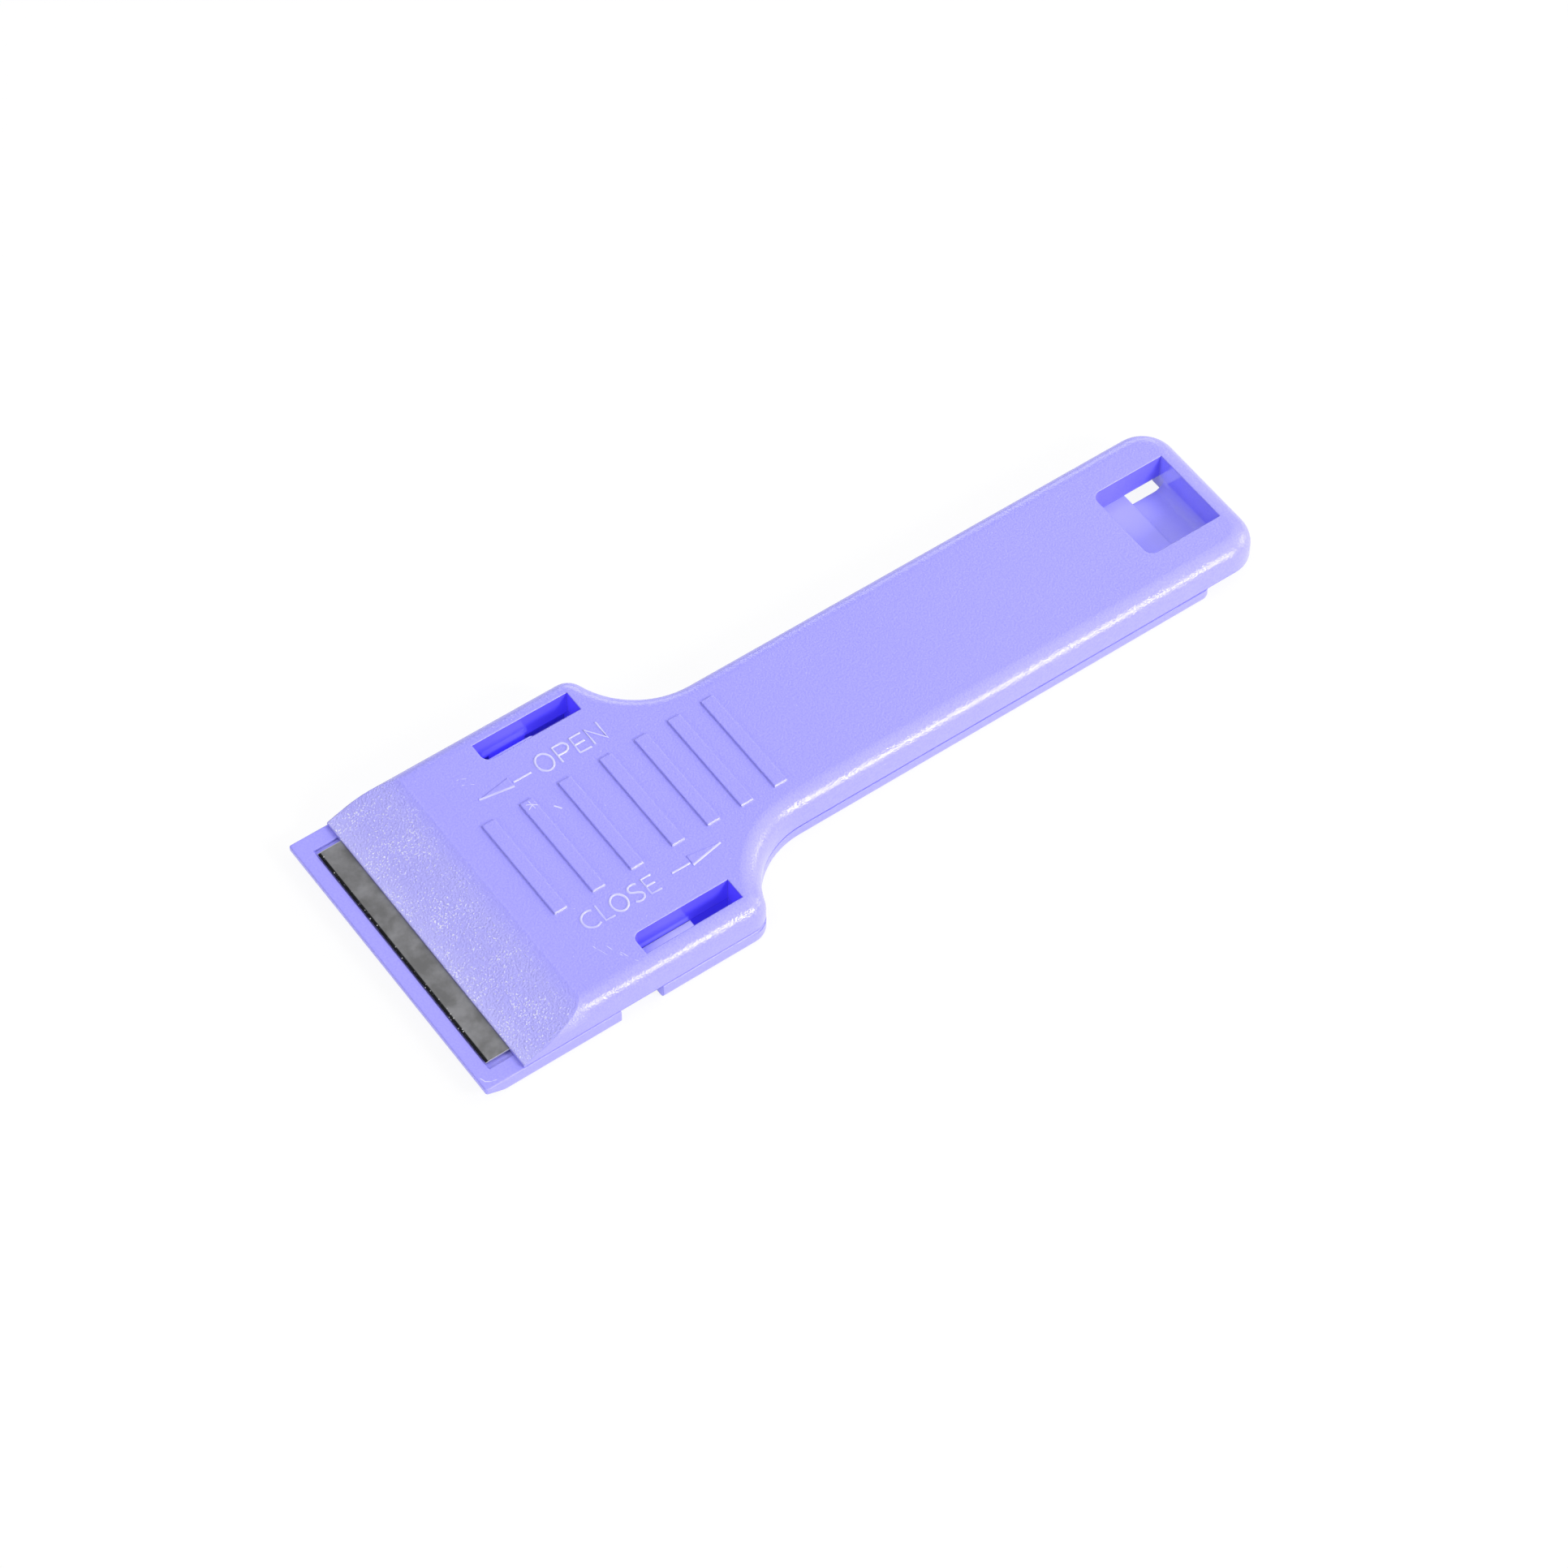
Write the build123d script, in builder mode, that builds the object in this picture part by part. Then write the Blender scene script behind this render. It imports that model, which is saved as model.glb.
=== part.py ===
from build123d import *
import math
import os

os.makedirs("parts", exist_ok=True)

# Hob scraper with a sliding top, in millimetres. The base is the long lower moulding whose
# front lip guards the edge. The top shell lies on it, carries the blade, and slides forward to
# bring the edge past the lip. x is measured from the lip's front edge towards the tail.

# Overall sizes
overall_length = 129.9
head_width = 45.2
handle_width = 25.0
top_height = 6.7
base_thickness = 2.5
travel = 5.0

# Clearances between pieces that move on each other, and one overrun for all cuts
slide_clearance = 0.05
running_clearance = 0.1
end_clearance = 0.3
lift_clearance = 0.2
seat_clearance = 0.03
overrun = 1.0
touch = 0.05

# Plan shape that both mouldings share
neck_radius = 11.7
neck_end = 54.5
head_corner_radius = 3.0
shell_head_inset = 0.15
base_handle_inset = 0.1

# Single-edge blade and its folded back
blade_length = 38.5
blade_depth = 18.6
blade_thickness = 0.23
blade_setback = 2.2
bevel_width = 0.75
notch_width = 2.2
notch_depth = 1.5
notch_to_spine = 0.4
spine_depth = 5.5
spine_wall = 0.435
spine_round = 0.4

# Front lip of the base
lip_edge_thickness = 0.75
lip_bevel_length = 4.2
lip_corner_radius = 0.3
base_edge_radius = 0.8
base_top_radius = 0.2
tail_step = 8.85
base_end_radius = 1.2
parting_groove_height = 0.4
parting_groove_depth = 0.6
recess_lead = 0.1
recess_side_gap = 0.85
recess_depth = 0.4

# Side notches in the rim of the base
rim_notch_start = 20.1
rim_notch_end = 26.4
rim_notch_depth = 1.55
rim_notch_round = 1.5
rim_notch_lead_round = 0.35

# Ramp of the top shell, down to its thin front edge
shell_front = 5.7
ramp_end = 15.6
ramp_front_height = 3.1
ramp_front_round = 0.25
crown_radius = 2.7
tail_radius = 5.0

# Slots in the head, over the hooks
slot_start = 26.0
slot_length = 14.6
slot_width = 3.3
slot_rim = 3.0
slot_round = 1.2

# Window in the tail, over the tail catch
window_length = 11.65
window_width = 12.6
tail_wall = 3.05
window_round = 1.3

# Thumb ribs
rib_width = 1.9
rib_height = 0.3
rib_length = 16.4
rib_round = 0.12
first_rib = 20.95
rib_run = 33.6
rib_place_shares = (0, 0.171, 0.344, 0.531, 0.692, 0.845, 1)

# Hollow of the top shell
skin = 1.6
side_wall = 1.8
cavity_wall = 2.4
cavity_corner = 1.5
stiffener = 1.2
stiffeners_across = 6

# Hooks under the head that hold the shell down on the base
hook_setback = 2.4
hook_length = 5.5
hook_wall = 1.0
hook_reach = 1.6
hook_foot = 0.95
hook_round = 0.3
ground_gap = 0.25
ledge_gap = 0.4
ledge_lead = 0.93
ledge_round = 0.5
detent_reach = 0.25
detent_length = 0.6
mouth_inset = 0.15

# Catch under the tail window
catch_width = 10.8
catch_reach = 8.05
catch_root_width = 15.2
catch_thickness = 0.75
catch_wall = 1.8
catch_round = 1.5
catch_heel_round = 0.9

# Heights and places worked out from the sizes above
front = -overall_length / 2
shell_bottom = base_thickness + slide_clearance
head_half = head_width / 2
handle_half = handle_width / 2
shell_head_half = head_half - shell_head_inset
base_handle_half = handle_half - base_handle_inset
base_end = overall_length - tail_step
slot_end = slot_start + slot_length
slot_outer = head_half - slot_rim
slot_inner = slot_outer - slot_width
window_end = overall_length - tail_wall
window_start = window_end - window_length
blade_half = blade_length / 2
blade_under = shell_bottom
blade_over = blade_under + blade_thickness
blade_mid_height = blade_under + blade_thickness / 2
spine_half_height = spine_wall + blade_thickness / 2
spine_end = blade_setback + blade_depth + spine_wall
spine_start = spine_end - spine_depth
notch_end = spine_start - notch_to_spine
notch_start = notch_end - notch_width
recess_half = blade_half + recess_side_gap
recess_floor = base_thickness - recess_depth
channel_floor = blade_mid_height - spine_half_height - lift_clearance
cavity_start = spine_end + cavity_wall
hook_start = slot_start + hook_setback
hook_end = hook_start + hook_length
ledge_end = hook_end + ledge_lead
ledge_edge = slot_outer - ledge_gap
barb_tip = slot_outer - hook_reach
barb_top = ground_gap + hook_foot
ledge_under = barb_top + lift_clearance
channel_outer = slot_outer + hook_wall + running_clearance
channel_start = hook_start - travel - end_clearance
mouth_inner = slot_inner - mouth_inset
mouth_end = ledge_end + hook_length + end_clearance
window_half = window_width / 2
catch_start = window_end - catch_reach
catch_top = ground_gap + catch_thickness
tail_ledge_under = catch_top + end_clearance


def level(height):
    # Plan plane at a height, with x counted from the lip's front edge
    return Plane.XY.move(Location((front, 0, height)))


def section():
    # Upright plane along the middle, with x counted from the lip's front edge and y upwards
    return Plane(origin=(front, 0, 0), x_dir=(1, 0, 0), z_dir=(0, -1, 0))


def cross(distance):
    # Upright plane across the tool, with x to the left side and y upwards
    return Plane(origin=(front + distance, 0, 0), x_dir=(0, 1, 0), z_dir=(1, 0, 0))


def rectangle(start, end, low, high):
    # Rectangle between two stations along x and two across
    with BuildSketch() as shape:
        with Locations(((start + end) / 2, (low + high) / 2)):
            Rectangle(end - start, high - low)
    return shape.sketch


def plan_outline(start, end, wide, narrow, end_radius):
    # Head, concave neck and handle, drawn on one side and mirrored
    neck_centre = (neck_end, narrow + neck_radius)
    rise = narrow + neck_radius - (wide - head_corner_radius)
    spread = neck_radius + head_corner_radius
    turn = math.degrees(math.asin(rise / spread))
    corner_centre = (neck_end - math.sqrt(spread**2 - rise**2), wide - head_corner_radius)
    with BuildSketch() as plan:
        with BuildLine():
            Line((start, 0), (start, wide))
            Line((start, wide), (corner_centre[0], wide))
            CenterArc(corner_centre, head_corner_radius, turn, 90 - turn)
            CenterArc(neck_centre, neck_radius, 180 + turn, 90 - turn)
            Line((neck_end, narrow), (end - end_radius, narrow))
            CenterArc((end - end_radius, narrow - end_radius), end_radius, 0, 90)
            Line((end, narrow - end_radius), (end, 0))
            mirror(about=Plane.XZ)
        make_face()
    return plan.sketch


def catch_profile():
    # Side view of the tail catch: a foot that runs forward from a wall, with a hollow corner
    with BuildSketch() as shape:
        with BuildLine():
            Polyline(
                (catch_start, ground_gap),
                (catch_start, catch_top),
                (window_end, catch_top),
                (window_end, shell_bottom + skin),
                (window_end + catch_wall, shell_bottom + skin),
                (window_end + catch_wall, ground_gap),
                close=True,
            )
        make_face()
        fillet(vertices().sort_by_distance((window_end, catch_top))[0], catch_round)
        fillet(vertices().sort_by_distance((window_end + catch_wall, ground_gap))[0], catch_heel_round)
    return shape.sketch


# Blade: a thin strip, ground from both sides, with a notch in each end
with BuildPart() as razor_blade:
    with BuildSketch(section()):
        with BuildLine():
            Polyline(
                (blade_setback, blade_mid_height),
                (blade_setback + bevel_width, blade_over),
                (blade_setback + blade_depth, blade_over),
                (blade_setback + blade_depth, blade_under),
                (blade_setback + bevel_width, blade_under),
                close=True,
            )
        make_face()
    extrude(amount=blade_half, both=True)
    with BuildSketch(level(blade_under)):
        add(rectangle(
            notch_start,
            notch_end,
            blade_half - notch_depth,
            blade_half + overrun,
        ))
        mirror(about=Plane.XZ)
    extrude(amount=blade_thickness, mode=Mode.SUBTRACT)

# Back of the blade: a strip folded over it along the rear edge
with BuildPart() as blade_spine:
    with BuildSketch(section()):
        with Locations((spine_end - spine_depth / 2, blade_mid_height)):
            Rectangle(spine_depth, 2 * spine_half_height)
    extrude(amount=blade_half, both=True)
    fold_edges = blade_spine.edges().filter_by(Axis.Y).group_by(Axis.X)[-1]
    fillet(fold_edges, spine_round)
    with BuildSketch(section()):
        with Locations((spine_end - spine_wall - blade_depth / 2, blade_mid_height)):
            Rectangle(blade_depth, blade_thickness)
    extrude(amount=blade_half, both=True, mode=Mode.SUBTRACT)

# Base: the lower moulding, from the guard lip to the tongue under the tail
with BuildPart() as base_guard:
    with BuildSketch(level(0)):
        add(plan_outline(0, base_end, head_half, base_handle_half, base_end_radius))
    extrude(amount=base_thickness - parting_groove_height)
    with BuildSketch(level(base_thickness - parting_groove_height)):
        add(plan_outline(
            0,
            base_end,
            head_half,
            base_handle_half - parting_groove_depth,
            base_end_radius,
        ))
    extrude(amount=parting_groove_height)

    # Lip thinned from below, with its corners and the rims rounded
    lip_corners = base_guard.edges().filter_by(Axis.Z).group_by(Axis.X)[0]
    fillet(lip_corners, lip_corner_radius)
    rim_edges = base_guard.faces().sort_by(Axis.Z)[0].edges().filter_by_position(
        Axis.X, front + lip_corner_radius, front + base_end
    )
    fillet(rim_edges, base_edge_radius)
    top_rim = base_guard.faces().sort_by(Axis.Z)[-1].edges()
    fillet(top_rim, base_top_radius)
    with BuildSketch(section()):
        with BuildLine():
            Polyline(
                (-overrun, base_thickness - lip_edge_thickness),
                (0, base_thickness - lip_edge_thickness),
                (lip_bevel_length, 0),
                (lip_bevel_length, -overrun),
                (-overrun, -overrun),
                close=True,
            )
        make_face()
    extrude(amount=head_half + overrun, both=True, mode=Mode.SUBTRACT)

    # Shallow recess round the edge of the blade, and the deeper channel for its folded back
    with BuildSketch(level(recess_floor)):
        add(rectangle(
            blade_setback - recess_lead, spine_end + end_clearance, -recess_half, recess_half
        ))
    extrude(amount=base_thickness - recess_floor + overrun, mode=Mode.SUBTRACT)
    with BuildSketch(level(channel_floor)):
        add(rectangle(
            spine_start - travel - end_clearance,
            spine_end + end_clearance,
            -recess_half,
            recess_half,
        ))
    extrude(amount=base_thickness - channel_floor, mode=Mode.SUBTRACT)

    # Channels for the hook walls, with wide mouths behind them where the hooks are put in
    with BuildSketch(level(0)):
        add(rectangle(channel_start, mouth_end, ledge_edge, channel_outer))
        mouth = rectangle(ledge_end, mouth_end, mouth_inner, channel_outer)
        add(mouth)
        mirror(about=Plane.XZ)
    extrude(amount=base_thickness, mode=Mode.SUBTRACT)
    ledge_corners = (
        base_guard.edges()
        .filter_by(Axis.Z)
        .filter_by_position(Axis.X, front + ledge_end - touch, front + ledge_end + touch)
        .filter_by(lambda edge: abs(abs(edge.center().Y) - ledge_edge) < touch)
    )
    fillet(ledge_corners, ledge_round)

    # Undercuts below the ledges, in which the feet of the hooks slide
    with BuildSketch(level(0)):
        add(rectangle(
            channel_start, ledge_end, barb_tip - end_clearance, ledge_edge
        ))
        mirror(about=Plane.XZ)
    extrude(amount=ledge_under, mode=Mode.SUBTRACT)

    # Ridges behind the closed hooks, which they click over when the shell is drawn off
    with BuildSketch(level(0)):
        with BuildLine():
            Polyline(
                (hook_end + end_clearance / 2, channel_outer),
                (hook_end + (end_clearance + detent_length) / 2, channel_outer - detent_reach),
                (hook_end + end_clearance / 2 + detent_length, channel_outer),
                close=True,
            )
        make_face()
        mirror(about=Plane.XZ)
    extrude(amount=base_thickness)

    # Notches in the rim beside the channels
    with BuildSketch(level(0)):
        add(rectangle(
            rim_notch_start, rim_notch_end, head_half - rim_notch_depth, head_half + overrun
        ))
        deep_corners = vertices().group_by(Axis.Y)[0].sort_by(Axis.X)
        fillet(deep_corners[0], rim_notch_lead_round)
        fillet(deep_corners[-1], rim_notch_round)
        mirror(about=Plane.XZ)
    extrude(amount=base_thickness, mode=Mode.SUBTRACT)

    # Undercut of the tail, over the catch of the top shell
    with BuildSketch(level(0)):
        add(rectangle(
            catch_start - travel - end_clearance,
            base_end + overrun,
            -catch_root_width / 2 - end_clearance,
            catch_root_width / 2 + end_clearance,
        ))
    extrude(amount=tail_ledge_under, mode=Mode.SUBTRACT)

# Top shell: ramp, head, neck and handle in one hollow moulding
with BuildPart() as top_shell:
    with BuildSketch(level(shell_bottom)):
        add(plan_outline(shell_front, overall_length, shell_head_half, handle_half, tail_radius))
    extrude(amount=top_height - shell_bottom)
    crown_edges = top_shell.faces().sort_by(Axis.Z)[-1].edges().sort_by(Axis.X)[1:]
    fillet(crown_edges, crown_radius)

    # Ramp down to the thin front edge, cut as one plane through the rounded shoulders
    with BuildSketch(section()):
        with BuildLine():
            Polyline(
                (shell_front - overrun, ramp_front_height),
                (shell_front, ramp_front_height),
                (ramp_end, top_height),
                (ramp_end, top_height + overrun),
                (shell_front - overrun, top_height + overrun),
                close=True,
            )
        make_face()
    extrude(amount=head_half, both=True, mode=Mode.SUBTRACT)
    front_edge = top_shell.edges().filter_by(Axis.Y).group_by(Axis.X)[0].sort_by(Axis.Z)[-1]
    fillet(front_edge, ramp_front_round)

    # Hollow under the head and handle, with stiffeners left across and along it
    cavity_end = window_start - skin
    cavity_length = cavity_end - cavity_start
    with BuildSketch(level(shell_bottom)):
        add(plan_outline(
            cavity_start, cavity_end, slot_inner - skin, handle_half - side_wall, cavity_corner
        ))
        with Locations(((cavity_start + cavity_end) / 2, 0)):
            Rectangle(cavity_length, stiffener, mode=Mode.SUBTRACT)
            with GridLocations(cavity_length / (stiffeners_across + 1), 0, stiffeners_across, 1):
                Rectangle(stiffener, head_width, mode=Mode.SUBTRACT)
    extrude(amount=top_height - skin - shell_bottom, mode=Mode.SUBTRACT)

    # Seat that holds the blade level with the underside, with pegs left to fill its notches
    with BuildSketch(level(shell_bottom)):
        add(rectangle(
            shell_front - overrun,
            spine_end - spine_wall + seat_clearance,
            -blade_half - seat_clearance,
            blade_half + seat_clearance,
        ))
        with Locations(((notch_start + notch_end) / 2, 0)):
            with GridLocations(0, blade_length, 1, 2):
                Rectangle(
                    notch_width - 2 * seat_clearance,
                    2 * (notch_depth - seat_clearance),
                    mode=Mode.SUBTRACT,
                )
    extrude(amount=blade_thickness + seat_clearance, mode=Mode.SUBTRACT)

    # Pocket for the folded back of the blade
    with BuildSketch(level(shell_bottom)):
        add(rectangle(
            spine_start - seat_clearance,
            spine_end + seat_clearance,
            -blade_half - seat_clearance,
            blade_half + seat_clearance,
        ))
    extrude(
        amount=blade_mid_height + spine_half_height + seat_clearance - shell_bottom,
        mode=Mode.SUBTRACT,
    )

    # Slots down through the head, each with its inner front corner rounded
    with BuildSketch(level(shell_bottom)):
        add(rectangle(slot_start, slot_end, slot_inner, slot_outer))
        inner_front = vertices().group_by(Axis.Y)[0].sort_by(Axis.X)[0]
        fillet(inner_front, slot_round)
        mirror(about=Plane.XZ)
    extrude(amount=top_height, mode=Mode.SUBTRACT)

    # Window through the tail
    with BuildSketch(level(shell_bottom)):
        add(rectangle(window_start, window_end, -window_half, window_half))
        fillet(vertices().group_by(Axis.X)[0], window_round)
    extrude(amount=top_height, mode=Mode.SUBTRACT)

    # Hooks that hang from the outer walls of the slots and turn in under the base
    with BuildSketch(cross(hook_start)):
        with BuildLine():
            Polyline(
                (slot_outer, shell_bottom + skin),
                (slot_outer, barb_top),
                (barb_tip, barb_top),
                (barb_tip, ground_gap),
                (slot_outer + hook_wall, ground_gap),
                (slot_outer + hook_wall, shell_bottom + skin),
                close=True,
            )
        make_face()
        heel = vertices().group_by(Axis.Y)[0].sort_by(Axis.X)
        fillet(heel, hook_round)
        mirror(about=Plane.YZ)
    extrude(amount=hook_length)

    # Catch that turns forward under the tail of the base, on a wall wider than the window
    with BuildSketch(section()):
        add(catch_profile())
    extrude(amount=catch_width / 2, both=True)
    with BuildSketch(section()):
        add(rectangle(window_end, window_end + catch_wall, ground_gap, shell_bottom + skin))
        rear_foot = vertices().group_by(Axis.Y)[0].sort_by(Axis.X)[-1]
        fillet(rear_foot, catch_heel_round)
    extrude(amount=catch_root_width / 2, both=True)

    # Thumb ribs across the top
    for share in rib_place_shares:
        with BuildSketch(level(top_height)):
            with Locations((first_rib + share * rib_run, 0)):
                Rectangle(rib_width, rib_length)
        extrude(amount=rib_height)
    rib_tops = top_shell.faces().filter_by(Plane.XY).group_by(Axis.Z)[-1].edges()
    fillet(rib_tops, rib_round)

razor_blade.part.label = "razor_blade"
blade_spine.part.label = "blade_spine"
base_guard.part.label = "base_guard"
top_shell.part.label = "top_shell"

export_step(razor_blade.part, "parts/razor_blade.step")
export_step(blade_spine.part, "parts/blade_spine.step")
export_step(base_guard.part, "parts/base_guard.step")
export_step(top_shell.part, "parts/top_shell.step")
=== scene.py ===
import math
import bpy
from mathutils import Euler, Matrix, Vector


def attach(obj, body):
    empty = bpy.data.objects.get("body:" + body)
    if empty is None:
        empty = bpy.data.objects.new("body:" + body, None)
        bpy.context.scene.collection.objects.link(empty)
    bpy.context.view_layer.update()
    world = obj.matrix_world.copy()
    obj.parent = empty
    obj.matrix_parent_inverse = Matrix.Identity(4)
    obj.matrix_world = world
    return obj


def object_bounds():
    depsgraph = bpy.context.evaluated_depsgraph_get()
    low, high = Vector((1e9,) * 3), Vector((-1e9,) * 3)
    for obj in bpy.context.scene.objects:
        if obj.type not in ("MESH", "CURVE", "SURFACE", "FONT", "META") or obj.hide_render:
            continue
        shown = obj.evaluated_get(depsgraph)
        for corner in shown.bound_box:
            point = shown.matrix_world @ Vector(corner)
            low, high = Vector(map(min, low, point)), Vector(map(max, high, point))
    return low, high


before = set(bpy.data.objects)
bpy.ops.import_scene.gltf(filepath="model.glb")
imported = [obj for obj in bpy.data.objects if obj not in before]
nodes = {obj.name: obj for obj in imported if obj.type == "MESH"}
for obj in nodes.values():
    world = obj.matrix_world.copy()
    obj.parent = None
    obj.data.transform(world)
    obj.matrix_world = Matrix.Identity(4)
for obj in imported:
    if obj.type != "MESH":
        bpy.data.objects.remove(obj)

# Lengths in the settings are millimetres, and stations count from the lip's front edge.
# Only the places and sizes of the camera, the lamps and the floor itself are metres.

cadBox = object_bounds()
mm = 0.001
lipFront = cadBox[0][0]
white = (1.0, 1.0, 1.0)
black = (0.0, 0.0, 0.0)
print("frame loaded:", ", ".join(sorted(nodes)))


def along(x, y, z):
    # millimetres from the lip's front edge, the middle and the floor, to scene metres
    return Vector((lipFront + x * mm, y * mm, z * mm))


def station(x):
    # the same for a station alone
    return lipFront + x * mm


# camera and lamps

studio = {
    "cameraPlace": (-0.23083, -0.31825, 0.53270),
    "cameraTurn": (35.8753, 0.0150, -35.4905),
    "cameraLens": 117.71,
    "sensorWidth": 36.0,
    "clip": (0.01, 10.0),
    "lamps": {
        # name: (direction, distance, width, height, watts, colour)
        "roofLamp": ((-0.30, 0.0, 0.95), 1.0, 0.70, 0.70, 3.0, (1.0, 1.0, 1.0)),
        "broadLamp": ((0.60, -0.15, 0.78), 1.1, 1.2, 1.0, 4.6, (1.0, 1.0, 1.0)),
        "keyLamp": ((0.35, -0.79, 0.50), 1.0, 0.28, 0.24, 5.5, (1.0, 0.99, 0.98)),
        "tailLamp": ((0.93, -0.28, 0.30), 0.9, 0.40, 0.25, 2.0, (1.0, 0.99, 0.98)),
        "sideLamp": ((0.20, -1.0, 0.22), 0.9, 1.0, 0.25, 0.4, (1.0, 1.0, 1.0)),
        "frontLamp": ((-1.0, -0.15, 0.36), 0.9, 0.5, 0.25, 1.7, (0.99, 0.99, 1.0)),
        "backLamp": ((0.60, 0.80, 0.30), 0.9, 0.6, 0.30, 1.8, (0.99, 0.99, 1.0)),
    },
}

scene = bpy.context.scene
scene.view_settings.view_transform = "Standard"

cameraData = bpy.data.cameras.new("viewCamera")
cameraData.lens = studio["cameraLens"]
cameraData.sensor_width = studio["sensorWidth"]
cameraData.clip_start, cameraData.clip_end = studio["clip"]
camera = bpy.data.objects.new("viewCamera", cameraData)
camera.location = studio["cameraPlace"]
camera.rotation_euler = Euler([math.radians(turn) for turn in studio["cameraTurn"]])
scene.collection.objects.link(camera)
scene.camera = camera

for lampName, (direction, distance, width, height, watts, colour) in studio["lamps"].items():
    lampData = bpy.data.lights.new(lampName, "AREA")
    lampData.shape = "RECTANGLE"
    lampData.size = width
    lampData.size_y = height
    lampData.energy = watts
    lampData.color = colour
    lamp = bpy.data.objects.new(lampName, lampData)
    lamp.location = Vector(direction).normalized() * distance
    lamp.rotation_euler = Vector(direction).to_track_quat("Z", "Y").to_euler()
    scene.collection.objects.link(lamp)
print("camera and lamps placed")


# shader helpers

def place(tree, kind, x, y, options=None, values=None):
    # a new node with its options and its unlinked inputs set
    node = tree.nodes.new(kind)
    node.location = (x, y)
    for name, value in (options or {}).items():
        setattr(node, name, value)
    for name, value in (values or {}).items():
        node.inputs[name].default_value = value
    return node


def math2(tree, operation, x, y, first, second=None, clamp=False):
    # a Math node whose inputs are sockets or numbers
    node = place(tree, "ShaderNodeMath", x, y, {"operation": operation, "use_clamp": clamp})
    for socket, value in zip(node.inputs, (first, second)):
        if value is None:
            continue
        if isinstance(value, (int, float)):
            socket.default_value = value
        else:
            tree.links.new(value, socket)
    return node.outputs[0]


def vectorMath(tree, operation, x, y, first, second):
    # a Vector Math node between two sockets
    node = place(tree, "ShaderNodeVectorMath", x, y, {"operation": operation})
    tree.links.new(first, node.inputs[0])
    tree.links.new(second, node.inputs[1])
    return node


def remap(tree, x, y, value, low, high, toLow=0.0, toHigh=1.0):
    # a clamped Map Range
    node = place(tree, "ShaderNodeMapRange", x, y, values={
        "From Min": low, "From Max": high, "To Min": toLow, "To Max": toHigh})
    tree.links.new(value, node.inputs["Value"])
    return node.outputs["Result"]


def blend(tree, x, y, factor, first, second):
    # a colour Mix, from sockets or colours
    node = place(tree, "ShaderNodeMix", x, y, {"data_type": "RGBA"})
    for socket, value in ((node.inputs[0], factor), (node.inputs[6], first), (node.inputs[7], second)):
        if isinstance(value, (int, float)):
            socket.default_value = value
        elif isinstance(value, tuple):
            socket.default_value = (*value, 1.0)
        else:
            tree.links.new(value, socket)
    return node.outputs[2]


def addBump(tree, x, y, height, depth, normal=None):
    # a Bump node, on top of another normal if one is given
    bump = place(tree, "ShaderNodeBump", x, y, values={"Strength": 1.0, "Distance": depth * mm})
    tree.links.new(height, bump.inputs["Height"])
    if normal is not None:
        tree.links.new(normal, bump.inputs["Normal"])
    return bump.outputs["Normal"]


def newGroup(name, inputs, outputs):
    # a shader node group with named sockets; returns the tree, its input node and its output node
    tree = bpy.data.node_groups.new(name, "ShaderNodeTree")
    for title, kind, value in inputs:
        socket = tree.interface.new_socket(title, in_out="INPUT", socket_type=kind)
        if value is not None:
            socket.default_value = value
    for title, kind in outputs:
        tree.interface.new_socket(title, in_out="OUTPUT", socket_type=kind)
    start = place(tree, "NodeGroupInput", -900, 0)
    end = place(tree, "NodeGroupOutput", 700, 0)
    return tree, start, end


def useGroup(tree, group, x, y, vector, values):
    # a placed group that works on the given vector
    node = place(tree, "ShaderNodeGroup", x, y, {"node_tree": group}, values)
    tree.links.new(vector, node.inputs["Vector"])
    return node


def newMaterial(name):
    # an empty material with a Principled BSDF; returns the material, its tree and the shader
    material = bpy.data.materials.new(name)
    material.use_nodes = True
    tree = material.node_tree
    tree.nodes.clear()
    output = place(tree, "ShaderNodeOutputMaterial", 900, 0)
    shader = place(tree, "ShaderNodeBsdfPrincipled", 600, 0)
    tree.links.new(shader.outputs["BSDF"], output.inputs["Surface"])
    return material, tree, shader


# shared effects

# fine moulded grain: soft bumps that break up a highlight, a slow drift in tone, and dust
grainLook = {
    "fineDetail": 2.0,
    "fineRoughness": 0.55,
    "slowDetail": 3.0,
    "slowRoughness": 0.5,
    "dustPerMetre": 330.0,
    "dustDot": (0.035, 0.015),        # from the dot's rim to its full tone
    "toneRange": (0.30, 0.70),
}

grainGroup, start, end = newGroup(
    "mouldedGrain",
    [("Vector", "NodeSocketVector", None), ("Grain Size", "NodeSocketFloat", 0.00022),
     ("Drift Size", "NodeSocketFloat", 0.02)],
    [("Height", "NodeSocketFloat"), ("Drift", "NodeSocketFloat"), ("Specks", "NodeSocketFloat"),
     ("Tone", "NodeSocketFloat")],
)
links = grainGroup.links
perMetre = math2(grainGroup, "DIVIDE", -700, -60, 1.0, start.outputs["Grain Size"])
fine = place(grainGroup, "ShaderNodeTexNoise", -450, 120, values={
    "Detail": grainLook["fineDetail"], "Roughness": grainLook["fineRoughness"]})
links.new(start.outputs["Vector"], fine.inputs["Vector"])
links.new(perMetre, fine.inputs["Scale"])
perDrift = math2(grainGroup, "DIVIDE", -700, -260, 1.0, start.outputs["Drift Size"])
slow = place(grainGroup, "ShaderNodeTexNoise", -450, -160, values={
    "Detail": grainLook["slowDetail"], "Roughness": grainLook["slowRoughness"]})
links.new(start.outputs["Vector"], slow.inputs["Vector"])
links.new(perDrift, slow.inputs["Scale"])
dust = place(grainGroup, "ShaderNodeTexVoronoi", -450, -420, values={
    "Scale": grainLook["dustPerMetre"], "Randomness": 1.0})
links.new(start.outputs["Vector"], dust.inputs["Vector"])
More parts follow.
